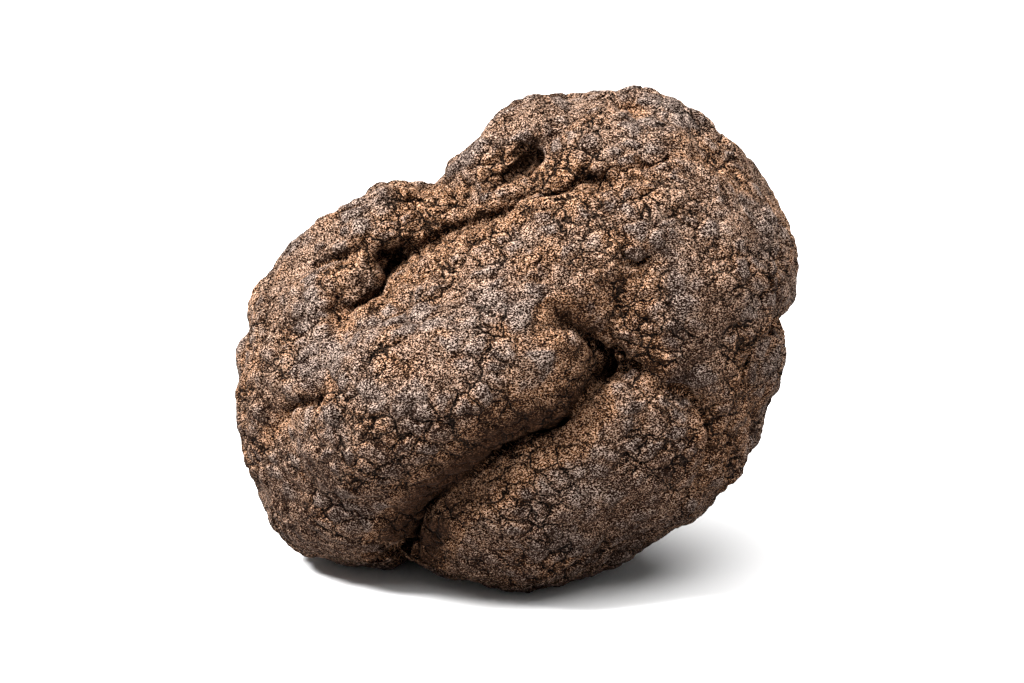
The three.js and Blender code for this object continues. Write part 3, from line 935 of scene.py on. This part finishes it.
    def dusty(self, tree: bpy.types.NodeTree, here: SkinMap) -> bpy.types.Node:
        """Finds where dust is left: in drifts, in hollows, along the valleys and between the warts."""
        drifting = {"Scale": 1 / self.dust_patch, "Detail": 3.0, "Roughness": 0.55, "Distortion": 0.4}
        amount = add_node(tree, NOISE, drifting, {"Vector": here.place})
        for ramp, value in (
            (self.dust_in_hollows, here.hollow),
            (self.dust_in_valleys, here.valley),
            (Ramp(0.0, self.warts.height, *self.dust_between_warts), here.wart),
        ):
            more = add_node(tree, MAP_RANGE, ramp.settings, {"Value": value})
            amount = add_node(tree, MATH, {"operation": "ADD"}, {0: amount, 1: more})
        return add_node(tree, MAP_RANGE, self.dust_cover.settings, {"Value": amount})

    def soil_and_shade(self, tree: bpy.types.NodeTree, here: SkinMap) -> bpy.types.Node:
        """Finds where dark soil and painted shade lie: down the valleys, most on what overhangs them, and
        deep in hollows.
        """
        beside, hanging, deep = [
            add_node(tree, MAP_RANGE, ramp.settings, {"Value": value})
            for ramp, value in (
                (self.soil_and_shade_in_valleys, here.valley),
                (self.shade_on_overhangs, here.upward),
                (self.soil_and_shade_in_hollows, here.hollow),
            )
        ]
        shaded = add_node(tree, MATH, {"operation": "MULTIPLY"}, {0: beside, 1: hanging})
        return add_node(tree, MATH, {"operation": "MAXIMUM"}, {0: shaded, 1: deep})


@dataclass
class FruitBody:
    """The truffle itself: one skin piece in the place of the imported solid. Lengths are in millimetres.

    Smoothing takes the facets off the fine copy, and healing evens the walls of the creases once they are
    drawn in. Ease is how far each of their rounds moves a point towards its neighbours, from 0 to 1.
    """

    node: str = "truffle"
    slot: str = "truffle_skin"
    weld: float = 0.01
    mesh_step: float = 0.41
    smoothing_rounds: int = 9
    healing_rounds: int = 2
    ease: float = 0.5
    creases: Creases = field(default_factory=Creases)
    relief: Relief = field(default_factory=Relief)
    finish: BrushedPeridium = field(default_factory=BrushedPeridium)

    def build(self) -> bpy.types.Object:
        """Builds the skin, dresses it, and puts it in the place of the solid.

        Returns:
            The skin piece.
        """
        skin = self.fine_copy()
        self.creases.pull_in(skin)
        apply_modifier(skin, "SMOOTH", {"factor": self.ease, "iterations": self.healing_rounds})
        apply_modifier(skin, "NODES", {"node_group": self.relief.tree()})
        select_only(skin)
        bpy.ops.object.shade_smooth()
        skin.data.materials.clear()
        skin.data.materials.append(self.finish.material())
        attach(skin, "root")
        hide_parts(self.node)
        return skin

    def fine_copy(self) -> bpy.types.Object:
        """Copies the solid and cuts the copy into small even faces, with the facets smoothed away.

        Returns:
            The new object.
        """
        skin = bpy.data.objects.new("peridium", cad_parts[self.node].data.copy())
        bpy.context.scene.collection.objects.link(skin)
        select_only(skin)
        bpy.ops.object.mode_set(mode="EDIT")
        bpy.ops.mesh.select_all(action="SELECT")
        bpy.ops.mesh.remove_doubles(threshold=self.weld * MM)
        bpy.ops.object.mode_set(mode="OBJECT")
        apply_modifier(skin, "REMESH", {"mode": "VOXEL", "voxel_size": self.mesh_step * MM})
        apply_modifier(skin, "SMOOTH", {"factor": self.ease, "iterations": self.smoothing_rounds})
        return skin


@dataclass(frozen=True)
class Lamp:
    """A soft light far off, as a sun whose disc is as wide as its softness. Angles are in degrees.

    The bearing is how far round to the right of the face it hangs, and how far above the horizon.
    """

    name: str
    bearing: tuple[float, float]
    strength: float
    softness: float


@dataclass
class Studio:
    """A pale floor, soft lights and a camera. Lengths are in millimetres and angles in degrees."""

    floor_size: float = 8000
    floor_colour: str = "#fafafa"
    floor_roughness: float = 0.9
    sky_colour: str = "#ffffff"
    sky_strength: float = 0.26
    lamps: tuple[Lamp, ...] = (
        Lamp("key", (-77, 52), 8.8, 20),
        Lamp("overhead", (-150, 86), 5.4, 90),
    )
    lamp_distance: float = 600
    lens: float = 120
    nearest_seen: float = 1
    aim: tuple[float, float, float] = (-0.27, -0.39, 25.94)
    distance: float = 393.1
    elevation: float = 14

    def build(self) -> None:
        """Lays the floor and sets up the lights and the camera."""
        self.lay_floor()
        for lamp in self.lamps:
            self.hang(lamp)
        self.light_the_sky()
        self.place_camera()
        # Standard shows each colour as it is, where Blender's own default would grey them.
        bpy.context.scene.view_settings.view_transform = "Standard"

    def lay_floor(self) -> None:
        """Lays a plain pale floor, in matt paint that gives no reflection, under the truffle."""
        bpy.ops.object.select_all(action="DESELECT")
        bpy.ops.mesh.primitive_plane_add(size=self.floor_size * MM)
        floor = bpy.context.active_object
        floor.name = "floor"
        paint = bpy.data.materials.new("matt_floor_paint")
        paint.use_nodes = True
        shader = paint.node_tree.nodes["Principled BSDF"]
        shader.inputs["Base Color"].default_value = linear(self.floor_colour)
        shader.inputs["Roughness"].default_value = self.floor_roughness
        floor.data.materials.append(paint)

    def from_aim(self, azimuth: float, elevation: float, distance: float) -> tuple[Vector, Vector]:
        """Finds a place round the truffle.

        Args:
            azimuth: 0 is in front of the face, and 90 to its right.
            elevation: The angle above the horizon.
            distance: How far from the point aimed at.

        Returns:
            The place, and the direction from it to the point aimed at, in metres.
        """
        a, e = math.radians(azimuth), math.radians(elevation)
        back = Vector((math.sin(a) * math.cos(e), -math.cos(a) * math.cos(e), math.sin(e)))
        return (Vector(self.aim) + back * distance) * MM, -back

    def hang(self, lamp: Lamp) -> None:
        """Hangs a lamp where its bearing says.

        Args:
            lamp: The lamp.
        """
        place, inward = self.from_aim(*lamp.bearing, self.lamp_distance)
        turn = inward.to_track_quat("-Z", "Y").to_euler()
        bpy.ops.object.light_add(type="SUN", location=place, rotation=turn)
        light = bpy.context.active_object
        light.name = lamp.name
        light.data.energy = lamp.strength
        light.data.angle = math.radians(lamp.softness)

    def light_the_sky(self) -> None:
        """Fills the shadows from all round."""
        world = bpy.data.worlds.new("studio")
        world.use_nodes = True
        sky = world.node_tree.nodes["Background"]
        sky.inputs["Color"].default_value = linear(self.sky_colour)
        sky.inputs["Strength"].default_value = self.sky_strength
        bpy.context.scene.world = world

    def place_camera(self) -> None:
        """Places the camera in front of the face."""
        place, inward = self.from_aim(0, self.elevation, self.distance)
        turn = inward.to_track_quat("-Z", "Y").to_euler()
        bpy.ops.object.camera_add(location=place, rotation=turn)
        camera = bpy.context.active_object
        camera.data.lens = self.lens
        camera.data.clip_start = self.nearest_seen * MM
        bpy.context.scene.camera = camera


def main() -> None:
    """Builds the truffle and its studio, and reports each piece."""
    logging.basicConfig(level=logging.INFO, format="%(name)s: %(message)s")
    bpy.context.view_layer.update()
    skin = FruitBody().build()
    log.info("%s: %d faces", skin.name, len(skin.data.polygons))
    studio = Studio()
    studio.build()
    log.info("studio: a floor, %d lamps and a camera", len(studio.lamps))


if __name__ == "__main__":
    main()
